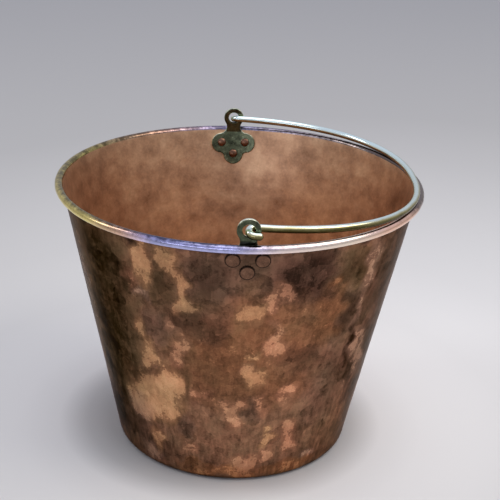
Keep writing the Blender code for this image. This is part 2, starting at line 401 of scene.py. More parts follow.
    def material(self) -> Material:
        """Builds the material.

        Returns:
            A material that reads the attributes of rubbed patches, which include painted pale reflections,
            of soot, which includes painted dark reflections and painted shade, and of tint, which the wall
            paints.
        """
        material, tree, shader = new_material(self.name)
        place = add_node(tree, "ShaderNodeTexCoord", {}, "Object")
        patterns = self.patterns(tree, place)
        self.add_marks(tree, place, patterns)
        start = self.middle_tone - half(self.tone_sways)
        tone = add_up(tree, start, patterns, self.tone_sways + self.mark_shares)
        patina = add_node(tree, "ShaderNodeValToRGB", {0: tone}, stops=self.stops)
        tint = add_node(tree, "ShaderNodeAttribute", {}, "Color", attribute_name="tint")
        sockets = {0: self.tint_share, 6: patina, 7: tint}
        tinted = add_node(tree, "ShaderNodeMix", sockets, 2, data_type="RGBA", blend_type="COLOR")
        sockets = {"Value": self.hue.add(tree, place), 1: self.hue_band[0], 2: self.hue_band[1]}
        redness = add_node(tree, "ShaderNodeMapRange", sockets)
        sockets = {0: redness, 6: linear(self.greener), 7: linear(self.redder)}
        cast = add_node(tree, "ShaderNodeMix", sockets, 2, data_type="RGBA")
        sockets = {0: 1, 6: tinted, 7: cast}
        colour = add_node(tree, "ShaderNodeMix", sockets, 2, data_type="RGBA", blend_type="MULTIPLY")
        even = half(self.roughness_sways)
        sockets = {"Value": patterns["bare"]}
        sockets |= {3: self.roughness_dark - even, 4: self.roughness_rubbed - even}
        gloss = add_node(tree, "ShaderNodeMapRange", sockets)
        relief = add_up(tree, self.pit.add(tree, place), patterns, self.relief_shares)
        sockets = {"Height": relief, "Strength": self.bump_strength, "Distance": self.bump_mm * MM}
        surface = {
            "Base Color": colour,
            "Specular Tint": linear(self.edge_colour),
            "Roughness": add_up(tree, gloss, patterns, self.roughness_sways),
            "Normal": add_node(tree, "ShaderNodeBump", sockets),
        }
        feed(shader, surface)
        return material


@dataclass(frozen=True)
class WornMetal:
    """A metal that use keeps half clean, with dull darker clouds and fine flecks.

    Three colours run from its tarnish to where it is rubbed bright. A piece may carry an attribute of
    polish and painted light, which is 0 where it is tarnished or painted dark, 0.5 in between and 1 where
    it is rubbed or painted light, and one called tint, which gives the hue. On the rim, the rod, the rivets
    and the ears' edges it carries painted highlights, reflections and shade, and on the rim the tint
    carries painted reflections.
    """

    name: str
    dark: str
    middle: str
    light: str
    roughness: float
    cloud: Grain = Grain(22, 5)
    fleck: Grain = Grain(2.5, 3)
    cloud_sway: float = 1.0
    fleck_sway: float = 0.3
    gloss_sway: float = 0.18
    bump_mm: float = 0.03
    bump_strength: float = 0.5
    polished: bool = False
    tint_share: float = 0
    tones: tuple[float, float, float] = (0.2, 0.5, 0.8)

    def material(self) -> Material:
        """Builds the material.

        Returns:
            A material that reads the attributes of polish and painted light, and of tint, where the finish
            says so.
        """
        material, tree, shader = new_material(self.name)
        place = add_node(tree, "ShaderNodeTexCoord", {}, "Object")
        patterns = {"cloud": self.cloud.add(tree, place), "fleck": self.fleck.add(tree, place)}
        sways = (("cloud", self.cloud_sway), ("fleck", self.fleck_sway))
        tone = self.tones[1] - half(sways)
        if self.polished:
            # Polish together with the painted highlights, reflections and shade that the piece carries
            polish = add_node(tree, "ShaderNodeAttribute", {}, "Fac", attribute_name="polish")
            tone = add_node(tree, "ShaderNodeMath", {0: polish, 1: -half(sways)}, operation="ADD")
        tone = add_up(tree, tone, patterns, sways)
        stops = tuple(zip(self.tones, (self.dark, self.middle, self.light)))
        colour = add_node(tree, "ShaderNodeValToRGB", {0: tone}, stops=stops)
        if self.tint_share:
            tint = add_node(tree, "ShaderNodeAttribute", {}, "Color", attribute_name="tint")
            sockets = {0: self.tint_share, 6: colour, 7: tint}
            colour = add_node(tree, "ShaderNodeMix", sockets, 2, data_type="RGBA", blend_type="COLOR")
        gloss = (("fleck", self.gloss_sway),)
        roughness = add_up(tree, self.roughness - half(gloss), patterns, gloss)
        relief = patterns["fleck"]
        sockets = {"Height": relief, "Strength": self.bump_strength, "Distance": self.bump_mm * MM}
        bump = add_node(tree, "ShaderNodeBump", sockets)
        feed(shader, {"Base Color": colour, "Roughness": roughness, "Normal": bump})
        return material


# Scoured by what is carried in it: dull, with broad clouds between brown and clean copper
INNER_COPPER = WornMetal("scoured copper sheet", "#94735a", "#caa382", "#ecc9a2", 0.40)
# Rubbed by hands and sleeves: smooth and bright, with a painted highlight, and in hues from gold to
# lavender that are painted reflections of the surroundings
RIM_COPPER = WornMetal(
    "copper rim rubbed bright",
    "#6c6058",
    "#d2cac4",
    "#fffaf6",
    0.15,
    cloud=Grain(10, 4),
    cloud_sway=0.8,
    gloss_sway=0.08,
    bump_mm=0.02,
    polished=True,
    tint_share=0.85,
)
# Planished sheet under the load: the dullest of the coppers
FLOOR_COPPER = WornMetal("planished copper floor", "#5c4636", "#8f6c54", "#b98e6e", 0.46, cloud_sway=0.7)
# Hammered over by hand: as brown as the wall, with a painted shade ring round the edge of the head
RIVET_COPPER = WornMetal(
    "hand-set copper rivet",
    "#35271f",
    "#7a5a48",
    "#a9826a",
    0.28,
    cloud=Grain(7, 4),
    cloud_sway=0.5,
    polished=True,
)
# Cast in sand and filed: a grey-green skin, lighter to cream on its rounded edges, which are worn and
# carry a painted highlight
EAR_BRASS = WornMetal(
    "cast brass, filed",
    "#2c3128",
    "#6c745c",
    "#eef0d8",
    0.24,
    cloud=Grain(6, 4),
    fleck=Grain(1.2, 3),
    cloud_sway=0.8,
    polished=True,
)
# Drawn rod: its upper inner side painted pale mint-white as a highlight, its underside painted olive brown
# as a dark reflection
ROD_BRASS = WornMetal(
    "polished brass rod",
    "#4a4322",
    "#b8ae7a",
    "#e6f8f0",
    0.15,
    cloud=Grain(24, 3),
    fleck=Grain(1.5, 3),
    cloud_sway=0.4,
    fleck_sway=0.15,
    gloss_sway=0.06,
    bump_mm=0.01,
    polished=True,
)
# Drawn wire, grey-brown with a little rust, in the slit under the roll
IRON_WIRE = WornMetal("drawn iron wire", "#3a2d26", "#55493f", "#6d6862", 0.5, cloud=Grain(4, 4))


@dataclass(frozen=True)
class Patch:
    """A worn or sooty patch of the wall, a painted reflection on it, or a painted shade line: its middle,
    half sizes, strength and cast.

    The azimuth is 0 at the front and grows towards the bail. The patch has its whole strength up to
    half of its half sizes, and ends at one and a half times them.
    """

    azimuth_deg: float
    height_mm: float
    half_width_deg: float
    half_height_mm: float
    strength: float
    tint: Tint
    end: float = 1.5
    fade_power: float = 0.8

    def reach(self, azimuth_deg: np.ndarray, height_mm: np.ndarray) -> np.ndarray:
        """Works out how strongly the patch shows at many places.

        Args:
            azimuth_deg: the places' azimuths.
            height_mm: their heights.

        Returns:
            From 0 to the patch's strength, for each place.
        """
        aside = np.abs((azimuth_deg - self.azimuth_deg + 180) % 360 - 180) / self.half_width_deg
        above = np.abs(height_mm - self.height_mm) / self.half_height_mm
        distance = np.cbrt(aside**3 + above**3)
        return self.strength * np.clip(self.end - distance, 0, 1) ** self.fade_power


@dataclass(frozen=True)
class Scatter:
    """Patches that are placed by chance on the sides and the back: their number, ranges and casts."""

    count: int
    seed: int
    height_mm: Span
    half_width_deg: Span
    half_height_mm: Span
    strength: Span
    tints: tuple[Tint, ...]
    azimuth_deg: Span = (85, 275)

    def patches(self) -> list[Patch]:
        """Draws the patches, the same ones each time.

        Returns:
            The patches.
        """
        draw = random.Random(self.seed)
        spans = (self.azimuth_deg, self.height_mm, self.half_width_deg, self.half_height_mm, self.strength)
        found = []
        for _ in range(self.count):
            sizes = [draw.uniform(*span) for span in spans]
            found.append(Patch(*sizes, draw.choice(self.tints)))
        return found


# Worn patches that the front shows, and painted pale reflections among them, by cast: the middle's azimuth
# in degrees and height in mm, the half width in degrees, the half height in mm and the strength
RUBS_AND_SHEEN: Patches = {
    Tint.TAN: (
        (-33.4, 252, 2.4, 17, 1.0),
        (-34.2, 231, 1.8, 9, 0.7),
        (-24.6, 254, 2.4, 12, 0.9),
        (-20.9, 231, 1.6, 15, 1.0),
        (-20.2, 210, 2.6, 10, 1.0),
        (-37.2, 178, 1.6, 8, 0.75),
        (-35.8, 166, 1.4, 8, 0.75),
        (-35.6, 151, 3.0, 8, 0.65),
        (-36.0, 138, 3.6, 7, 0.85),
        (-27.2, 116, 4.2, 14, 1.0),
        (-33.5, 96, 8.0, 20, 1.0),
        (-40.5, 80, 8.0, 17, 1.0),
        (-29.0, 83, 3.4, 10, 0.9),
        (2.6, 204, 4.2, 9, 1.0),
        (5.0, 160, 1.8, 4, 0.7),
        (4.2, 131, 2.6, 7, 0.95),
        (2.6, 142, 1.4, 7, 0.75),
        (12.0, 67, 1.5, 4, 1.0),
        (12.2, 52, 1.4, 5, 0.7),
        (-37.6, 34, 1.8, 11, 0.75),
    ),
    Tint.PINK: (
        (-35.4, 214, 2.6, 4, 0.7),
        (-45.5, 70, 5.0, 12, 0.9),
        (-41.6, 18, 5.0, 8, 0.85),
        (36.6, 23, 3.0, 4, 0.7),
        # These four paint the pale reflected band at the right, which curves down the wall
        (45.4, 236, 2.6, 26, 0.55),
        (43.6, 188, 2.2, 18, 0.5),
        (50.4, 146, 3.6, 11, 0.7),
        (54.6, 122, 4.0, 17, 0.75),
    ),
    Tint.RUST: ((-39.4, 227, 1.8, 13, 0.5),),
    Tint.SALMON: (
        (-27.2, 186, 2.2, 8, 0.5),
        (-22.4, 160, 2.8, 8, 0.65),
        (-23.8, 147, 2.6, 7, 0.65),
        (-3.4, 92, 3.8, 10, 0.9),
        (-2.8, 78, 3.4, 8, 0.85),
        (-16.0, 110, 5.0, 5, 0.45),
        (12.4, 227, 3.0, 7, 0.85),
        (8.6, 217, 2.6, 6, 0.9),
        (10.4, 190, 1.6, 9, 0.6),
        (11.2, 175, 2.2, 9, 0.85),
        (13.4, 164, 2.8, 6, 0.95),
        (2.2, 143, 1.4, 5, 0.65),
        (18.6, 106, 2.6, 12, 0.6),
        (8.4, 95, 2.4, 9, 0.5),
        (13.6, 36, 1.4, 9, 0.75),
        (21.0, 62, 3.4, 9, 0.70),
        (23.2, 46, 2.8, 8, 0.65),
        (4.0, 24, 5.6, 9, 0.85),
        (-22.4, 38, 2.6, 11, 0.6),
    ),
    Tint.ORANGE: (
        (1.6, 13, 7.0, 6, 0.75),
        (-17.0, 12, 8.0, 6, 0.55),
        (25.0, 12, 10.0, 6, 0.55),
        (31.6, 230, 2.2, 5, 0.6),
        (31.0, 196, 5.4, 24, 0.22),
        (2.0, 160, 22.0, 48, 0.22),
    ),
    # A painted greyish reflection at the far left
    Tint.OLIVE: ((-71.0, 190, 5.0, 60, 0.5),),
}
# Where soot and oxide lie thickest in front, with painted dark reflections at both sides and a painted
# shade line all round under the rim, in the same way
SOOTS_AND_SHADE: Patches = {
    Tint.OLIVE: (
        # These three paint the dark reflected band on the left side
        (-54.0, 190, 12.0, 100, 1.0),
        (-66.0, 200, 14.0, 90, 0.7),
        (-61.0, 96, 9.0, 60, 0.95),
        (-27.4, 224, 3.0, 28, 0.5),
        # Part of the painted dark reflected line at the right
        (36.0, 243, 7.0, 21, 0.7),
        (-20.8, 116, 1.6, 22, 0.55),
    ),
    Tint.PLUM: (
        # Painted dark reflection on the left side, low down
        (-67.0, 52, 9.0, 22, 1.0),
        # A painted shade line all round under the rim
        (0.0, 275, 180.0, 3.5, 0.8),
        (18.5, 244, 9.0, 24, 0.75),
        # Part of the painted dark reflected line at the right
        (45.0, 150, 2.4, 24, 0.9),
        (22.0, 146, 10.0, 14, 0.4),
    ),
    Tint.UMBER: (
        (-10.5, 238, 7.0, 28, 0.55),
        (2.0, 262, 9.0, 14, 0.5),
        (-19.0, 190, 11.0, 15, 0.55),
        (-30.0, 178, 4.0, 14, 0.5),
        # These two are part of the painted dark reflected line at the right
        (39.5, 195, 3.6, 20, 0.6),
        (50.5, 112, 2.6, 16, 0.8),
        (57.5, 84, 5.0, 16, 0.6),
        (62.0, 190, 14.0, 84, 0.5),
        (38.0, 110, 9.0, 40, 0.35),
        (-22.0, 66, 3.0, 10, 0.5),
        (5.4, 92, 2.4, 12, 0.4),
        # Painted dark reflection on the left side, low down
        (-52.0, 50, 9.0, 24, 0.6),
    ),
    Tint.RUST: ((-9.0, 190, 4.0, 8, 0.5),),
}
# The same for the sides and the back, which the photograph doesn't show
SCATTERED_RUBS = Scatter(
    count=52,
    seed=5,
    height_mm=(12, 262),
    half_width_deg=(2.5, 8),
    half_height_mm=(8, 30),
    strength=(0.40, 0.95),
    tints=(Tint.TAN, Tint.SALMON, Tint.PINK, Tint.ORANGE),
)
SCATTERED_SOOTS = Scatter(
    count=14,
    seed=6,
    height_mm=(20, 250),
    half_width_deg=(6, 12),
    half_height_mm=(20, 70),
    strength=(0.4, 1),
    tints=(Tint.PLUM, Tint.OLIVE, Tint.UMBER),
)

# Along the rim, by azimuth in degrees: the hue of the painted reflections, and how bright the rim is there,
# polish and painted reflection together
RIM_PAINTED_REFLECTIONS = (
    (-150, Tint.PEACH, 0.46),
    (-120, Tint.GOLD, 0.52),
    (-52, Tint.GOLD, 0.44),
    (-38, Tint.PEACH, 0.34),
    (-27, Tint.LAVENDER, 0.33),
    (-4, Tint.LAVENDER, 0.37),
    (10, Tint.ROSE, 0.50),
    (30, Tint.CREAM, 0.68),
    (45, Tint.PEACH, 0.72),
    (58, Tint.PEACH, 0.58),
    (70, Tint.SMOKE, 0.12),
    (110, Tint.SMOKE, 0.25),
    (150, Tint.ROSE, 0.60),
    (180, Tint.LAVENDER, 0.50),
)


@dataclass(frozen=True)
class Blows:
    """Marks of the planishing hammer, laid in rows: shallow round dishes that meet in faint ridges."""

    spacing: float = 0.0125
    row_share: float = 0.9
    jitter: float = 0.0032
    reach: float = 0.0100
    depth: float = 0.00022
    seed: int = 11


@dataclass
class Sheet:
    """Sizes of the copper sheet's middle line, which the wall, the ears and the rivets share."""

    rim_radius: float
    height: float
    floor_radius: float
    corner_radius: float = 0.009
    ring_width: float = 0.018
    thickness: float = 0.0012
    roll_radius: float = 0.0041
    roll_sweep: float = radians(300)
    seat: float = 0.0003

    def __post_init__(self) -> None:
        """Works out the arcs' centres and the wall's lean."""
        self.corner = Vector((self.floor_radius, 0, self.corner_radius))
        self.roll = Vector((self.rim_radius - self.roll_radius, 0, self.height - self.roll_radius))
        self.corner_bend = self.corner_radius - self.thickness / 2
        self.roll_bend = self.roll_radius - self.thickness / 2
        across = self.roll - self.corner
        self.slope = atan2(across.x, across.z) - asin((self.corner_bend + self.roll_bend) / across.length)
        self.normal = Vector((cos(self.slope), 0, -sin(self.slope)))
        self.foot_top = self.corner + self.normal * self.corner_bend
        self.roll_start = self.roll - self.normal * self.roll_bend

    def radius_at(self, height: float, offset: float) -> float:
        """The wall's radius at a height, a given distance outside the middle of the sheet."""
        point = self.foot_top + self.normal * offset
        return point.x + (height - point.z) * tan(self.slope)


@dataclass
class Pen:
    """Draws a chain of edges in a mesh, from a first vertex on."""

    bm: BMesh
    tip: BMVert

    def straight(self, along: Vector, steps: int = 1) -> None:
        """Draws a straight line of equal edges.

        Args:
            along: the whole line's way and length.
            steps: the number of edges.
        """
        for _ in range(steps):
            self.tip = bmesh.ops.extrude_vert_indiv(self.bm, verts=[self.tip])["verts"][0]
            bmesh.ops.translate(self.bm, verts=[self.tip], vec=along / steps)

    def arc(self, centre: Vector, axis: Vector, angle: float, steps: int) -> None:
        """Draws an arc of equal edges round an axis through a centre."""
        spun = bmesh.ops.spin(self.bm, geom=[self.tip], cent=centre, axis=axis, angle=angle, steps=steps)
        self.tip = next(item for item in spun["geom_last"] if isinstance(item, BMVert))


def spin_full(bm: BMesh, steps: int) -> None:
    """Turns everything in the mesh once round the Z axis, in equal steps, and welds what meets.

    Args:
        bm: half of a round piece's section, drawn as edges.
        steps: the number of steps in the turn.
    """
    everything = bm.verts[:] + bm.edges[:]
    bmesh.ops.spin(bm, geom=everything, cent=(0, 0, 0), axis=Z_AXIS, angle=tau, steps=steps, use_merge=True)
    bmesh.ops.remove_doubles(bm, verts=bm.verts, dist=MERGE)
    bmesh.ops.recalc_face_normals(bm, faces=bm.faces)


def mirror_over(bm: BMesh, axis: str) -> None:
    """Mirrors everything in the mesh along an axis, "X" or "Z", and welds it in the middle."""
    bmesh.ops.mirror(bm, geom=bm.verts[:] + bm.edges[:] + bm.faces[:], axis=axis, merge_dist=MERGE)
    bmesh.ops.remove_doubles(bm, verts=bm.verts, dist=MERGE)


def face_outwards(bm: BMesh, inside: Vector) -> None:
    """Turns an open shell over if its faces look at a point inside it.

    Args:
        bm: the shell.
        inside: the point.
    """
    looking = sum(
        (face.calc_center_median() - inside).dot(face.normal) * face.calc_area() for face in bm.faces
    )
    if looking < 0:
        bmesh.ops.reverse_faces(bm, faces=bm.faces)


def dish(bm: BMesh, centres: list[Vector], blows: Blows, fade: dict[int, float]) -> None:
    """Presses hammer marks into a surface.

    Args:
        bm: the surface.
        centres: where the hammer's face landed.
        blows: the marks' sizes.
        fade: for each vertex number, how much of the mark it takes, from 0 to 1.
    """
    tree = kdtree.KDTree(len(centres))
    for index, centre in enumerate(centres):
        tree.insert(centre, index)
    tree.balance()
    bm.normal_update()
    moves = []
    for vert in bm.verts:
        distance = tree.find(vert.co)[2]
        ridge = min(distance / blows.reach, 1) ** 2
        moves.append(vert.normal * (ridge - 1) * blows.depth * fade[vert.index])
    for vert, move in zip(bm.verts, moves):
        vert.co += move


def add_object(name: str, data: bpy.types.ID) -> Object:
    """Puts a mesh, a lamp or a camera in the scene.

    Args:
        name: the new object's name.
        data: the mesh, the lamp or the camera.

    Returns:
        The new object.
    """
    thing = bpy.data.objects.new(name, data)
    bpy.context.scene.collection.objects.link(thing)
    return thing


def add_mesh(name: str, bm: BMesh, materials: list[Material]) -> Object:
    """Makes an object of a finished bmesh and shades it smooth.

    Args:
        name: the object's name.
        bm: its mesh, which is freed.
        materials: its materials, in the order of the faces' material numbers.

    Returns:
        The new object.
    """
    mesh = bpy.data.meshes.new(name)
    bm.to_mesh(mesh)
    bm.free()
    mesh.shade_smooth()
    for material in materials:
        mesh.materials.append(material)
    return add_object(name, mesh)


def add_piece(
    name: str, bm: BMesh, materials: list[Material], body: str, replaced: str
) -> Object:
    """Makes a piece of a finished bmesh and sets it on its body.

    Args:
        name: the piece's name.
        bm: its mesh, which is freed.
        materials: its materials, in the order of the faces' material numbers.
        body: the body that it rides on.
        replaced: the CAD node that it stands for.

    Returns:
        The new object.
    """
    piece = add_mesh(name, bm, materials)
    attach(piece, body)
    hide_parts(replaced)
    LOG.info("%s: %d faces, rides on %s", name, len(piece.data.polygons), body)
    return piece


def thicken(piece: Object, thickness: float, inner_material: int = 0) -> None:
    """Gives a sheet its thickness, half to each side.

    Args:
        piece: the middle of the sheet.
        thickness: how thick the sheet is.
        inner_material: how many places on in its materials the inner side finds its own.
    """
    solid = piece.modifiers.new("sheet thickness", "SOLIDIFY")
    solid.thickness = thickness
    solid.offset = 0
    solid.material_offset = inner_material


@dataclass
class CopperWall:
    """The hammered wall: one sheet, turned in at the foot and rolled outward over the wire at the rim."""

    sheet: Sheet
    blows: Blows = Blows()
    turn_steps: int = 360
    wall_steps: int = 88
    roll_steps: int = 26
    corner_steps: int = 7
    ring_steps: int = 4
    wave: Waver = Waver(0.35, 70)
    bead_wave: Waver = Waver(0.16, 13)
    fade_height: float = 0.006
    ear_half_width: float = 0.034
    ear_depth: float = 0.050
    ear_fade: float = 0.020
    bend_deg: float = 4.0
    bend_mm: float = 10.0
    bend_length_mm: float = 16
    plain_share: float = 0.25
    # The bead's painted highlight, set by which way each point faces: its strength, its base and its lean
    edge_polish_and_highlight: float = 0.32
    edge_bias: float = 0.35
    edge_outward: float = 0.6
    bead_material: int = 2

    def outline(self, bm: BMesh) -> None:
        """Draws the sheet's middle line in the XZ plane, from the foot's inner edge to the roll's end.

        Args:
            bm: an empty mesh.
        """
        sheet = self.sheet
        inner = sheet.floor_radius + sheet.corner_radius - sheet.ring_width
        pen = Pen(bm, bm.verts.new((inner, 0, sheet.thickness / 2)))
        pen.straight(X_AXIS * (sheet.corner.x - inner), self.ring_steps)
        pen.arc(sheet.corner, -Y_AXIS, pi / 2 - sheet.slope, self.corner_steps)
        pen.straight(sheet.roll_start - sheet.foot_top, self.wall_steps)
        pen.arc(sheet.roll, Y_AXIS, sheet.roll_sweep, self.roll_steps)

    def blow_centres(self) -> list[Vector]:
        """Works out where the hammer landed: rows round the wall, each blow a little off its place.

        Returns:
            The places.
        """
        draw = random.Random(self.blows.seed)
        centres = []
        height = 0.0
        while height < self.sheet.height:
            radius = self.sheet.radius_at(height, 0)
            count = round(tau * radius / self.blows.spacing)
            shift = draw.random()
            for blow in range(count):
                angle = tau * (blow + shift) / count + draw.uniform(-1, 1) * self.blows.jitter / radius
                level = height + draw.uniform(-1, 1) * self.blows.jitter
                wide = self.sheet.radius_at(level, 0)
                centres.append(Vector((wide * cos(angle), wide * sin(angle), level)))
            height += self.blows.spacing * self.blows.row_share
        return centres

    def on_roll(self, place: Vector) -> bool:
        """Whether a point lies on the rolled rim: above the wall, or outside its top."""
        aside = hypot(place.x, place.y) - self.sheet.radius_at(place.z, 0)
        return place.z > self.sheet.roll_start.z or aside > self.sheet.thickness

    def flat_share(self, place: Vector) -> float:
        """Works out how much of the hammer marks and waves a point takes: none on the foot and the roll.

        Args:
            place: the point.

        Returns:
            The share, from 0 to 1.
        """
        if self.on_roll(place):
            return 0.0
        low = (place.z - self.sheet.corner_radius) / self.fade_height
        high = (self.sheet.roll_start.z - place.z) / self.fade_height
        return max(0.0, min(1.0, low, high))

    def bead_share(self, place: Vector) -> float:
        """How much of the bead's unevenness a point takes: all on the roll, and less down the wall."""
        share = 1 - (self.sheet.roll_start.z - place.z) / self.fade_height
        return 1.0 if self.on_roll(place) else max(0.0, share)

    def by_ear(self, place: Vector) -> float:
        """Works out whether a point is behind an ear, where waves would push through it.

        Args:
            place: the point.

        Returns:
            1 behind an ear, 0 away from both, and between them a share.
        """
        aside = (abs(place.x) - self.ear_half_width) / self.ear_fade
        below = (self.sheet.height - self.ear_depth - place.z) / self.ear_fade
        return 1 - max(0.0, min(1.0, max(aside, below)))

    def work(self, bm: BMesh) -> None:
        """Hammers the wall, and leaves it and the bead as uneven as hand work.

        Args:
            bm: the smooth wall.
        """
        bm.verts.index_update()
        fade = {vert.index: self.flat_share(vert.co) for vert in bm.verts}
        dish(bm, self.blow_centres(), self.blows, fade)
        for vert in bm.verts:
            way = outward(vert.co)
            swing = self.wave.at(vert.co) * fade[vert.index] * (1 - self.by_ear(vert.co))
            swing += self.bead_wave.at(way * self.sheet.rim_radius) * self.bead_share(vert.co)
            vert.co += way * swing

    def patina(self, bm: BMesh, azimuth_deg: np.ndarray) -> tuple[np.ndarray, np.ndarray, np.ndarray]:
        """Works out the patches on the wall, with their outlines bent by chance.

        Args:
            bm: the wall.
            azimuth_deg: the azimuth of each vertex.

        Returns:
            For each vertex how far it is rubbed bare, painted pale reflections included, how sooty it is,
            painted dark reflections and painted shade included, and its mixed tint.
        """
        height_mm = np.array([vert.co.z / MM for vert in bm.verts])
        places = [vert.co * per_metre(self.bend_length_mm) for vert in bm.verts]
        bends = np.array([[noise.noise(place), noise.noise(place.zxy)] for place in places])
        bent = azimuth_deg + bends[:, 0] * self.bend_deg, height_mm + bends[:, 1] * self.bend_mm
        rubs_and_sheen, soots_and_shade = (
            [Patch(*sizes, tint) for tint, rows in seen.items() for sizes in rows] + unseen.patches()
            for seen, unseen in ((RUBS_AND_SHEEN, SCATTERED_RUBS), (SOOTS_AND_SHADE, SCATTERED_SOOTS))
        )
        shares = np.array([patch.reach(*bent) for patch in rubs_and_sheen + soots_and_shade])
        colours = np.array([linear(patch.tint.value) for patch in rubs_and_sheen + soots_and_shade])
        plain = self.plain_share * np.array(linear(Tint.BROWN.value))
        tint = np.einsum("pv,pc->vc", shares, colours) + plain
        rubbed_and_sheen, soot_and_shade = shares[: len(rubs_and_sheen)].max(axis=0), shares[len(rubs_and_sheen) :].max(axis=0)
        return rubbed_and_sheen, soot_and_shade, tint / tint[:, 3:]

    def rim_sheen(self, bm: BMesh, azimuth_deg: np.ndarray) -> tuple[np.ndarray, np.ndarray]:
        """Works out the rolled rim's painted reflections and its painted highlight, which is brightest
        where the normal, looking in towards the wire, points up and in.

        Args:
            bm: the wall, whose normals look in towards the wire on the roll.
            azimuth_deg: the azimuth of each vertex.

        Returns:
            For each vertex its polish and painted highlight together on the rim, and the painted
            reflections' hue.
        """
        # Painted reflections and brightness along the rim, by azimuth
        around, hues, shine = zip(*RIM_PAINTED_REFLECTIONS)
        ways = [Z_AXIS - outward(vert.co) * self.edge_outward for vert in bm.verts]
        facing = np.array([vert.normal.dot(way) for vert, way in zip(bm.verts, ways)])
        polish = np.interp(azimuth_deg, around, shine, period=360)
        # The bead's painted highlight, by which way each point faces
        polish += self.edge_polish_and_highlight * (self.edge_bias + facing)
        channels = zip(*(linear(hue.value) for hue in hues))
        rows = [np.interp(azimuth_deg, around, channel, period=360) for channel in channels]
        return polish, np.stack(rows, axis=1)

    def paint(self, bm: BMesh) -> None:
        """Writes what the finishes read: on the wall how rubbed and how sooty it is, painted reflections
        and painted shade included, and its tint; on the rim its polish with the painted highlight, and the
        painted reflections' hue.

        Args:
            bm: the finished wall, with its normals up to date.
        """
        azimuth_deg = np.array([degrees(atan2(vert.co.x, -vert.co.y)) for vert in bm.verts])
        rubbed_and_sheen, soot_and_shade, tint = self.patina(bm, azimuth_deg)
        polish, rim_tint = self.rim_sheen(bm, azimuth_deg)
        on_rim = np.array([self.on_roll(vert.co) for vert in bm.verts])
        tint = np.where(on_rim[:, None], rim_tint, tint)
        marks = {"rubbed_and_sheen": rubbed_and_sheen, "soot_and_shade": soot_and_shade, "polish": polish}
        layers = [bm.verts.layers.float.new(name) for name in marks]
        tint_layer = bm.verts.layers.float_color.new("tint")
        for place, vert in enumerate(bm.verts):
            for layer, values in zip(layers, marks.values()):
                vert[layer] = values[place]
            vert[tint_layer] = tint[place]

    def build(self) -> Object:
        """Builds the wall with its outside, its inside and its bead each in their own finish.

        Returns:
            The wall.
        """
        bm = bmesh.new()
        self.outline(bm)
        spin_full(bm, self.turn_steps)
        face_outwards(bm, self.sheet.height / 2 * Z_AXIS)
        self.work(bm)
        bm.normal_update()
        self.paint(bm)
        for face in bm.faces:
            face.material_index = self.bead_material if self.on_roll(face.calc_center_median()) else 0
        finishes = (PatinatedCopper(), INNER_COPPER, RIM_COPPER, RIM_COPPER)
        materials = [finish.material() for finish in finishes]
        piece = add_piece("copper_wall", bm, materials, "bucket", "body_wall")
        thicken(piece, self.sheet.thickness, inner_material=1)
        return piece


@dataclass
class CopperFloor:
    """The floor: a disc of the same sheet, planished by hand, that lies on the turned-in foot."""

    sheet: Sheet
    blows: Blows = Blows(seed=23)
    turn_steps: int = 180
    ring_steps: int = 40
    edge: float = 0.0006
    blow_shift_share: float = 0.5

    def blow_centres(self, radius: float, level: float) -> list[Vector]:
        """Where the hammer landed, in rings from the middle out.

        Args:
            radius: the floor's radius.
            level: the height of the middle of the sheet.

        Returns:
            The places.
        """
        draw = random.Random(self.blows.seed)
        centres = []
        ring = 0.0
        while ring < radius:
            count = max(1, round(tau * ring / self.blows.spacing))
            for blow in range(count):
                angle = tau * (blow + draw.random() * self.blow_shift_share) / count
                wide = ring + draw.uniform(-1, 1) * self.blows.jitter
                centres.append(Vector((wide * cos(angle), wide * sin(angle), level)))
            ring += self.blows.spacing
        return centres

    def build(self) -> Object:
        """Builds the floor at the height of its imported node.

        Returns:
            The floor.
        """
        low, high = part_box("floor_disc")
        radius = self.sheet.floor_radius - self.edge
        middle = (low.z + high.z) / 2
        bm = bmesh.new()
        Pen(bm, bm.verts.new((0, 0, middle))).straight(X_AXIS * radius, self.ring_steps)
        spin_full(bm, self.turn_steps)
        face_outwards(bm, -Z_AXIS)
        bm.verts.index_update()
        dish(bm, self.blow_centres(radius, middle), self.blows, {vert.index: 1.0 for vert in bm.verts})
        piece = add_piece("copper_floor", bm, [FLOOR_COPPER.material()], "bucket", "floor_disc")
        thicken(piece, self.sheet.thickness)
        return piece


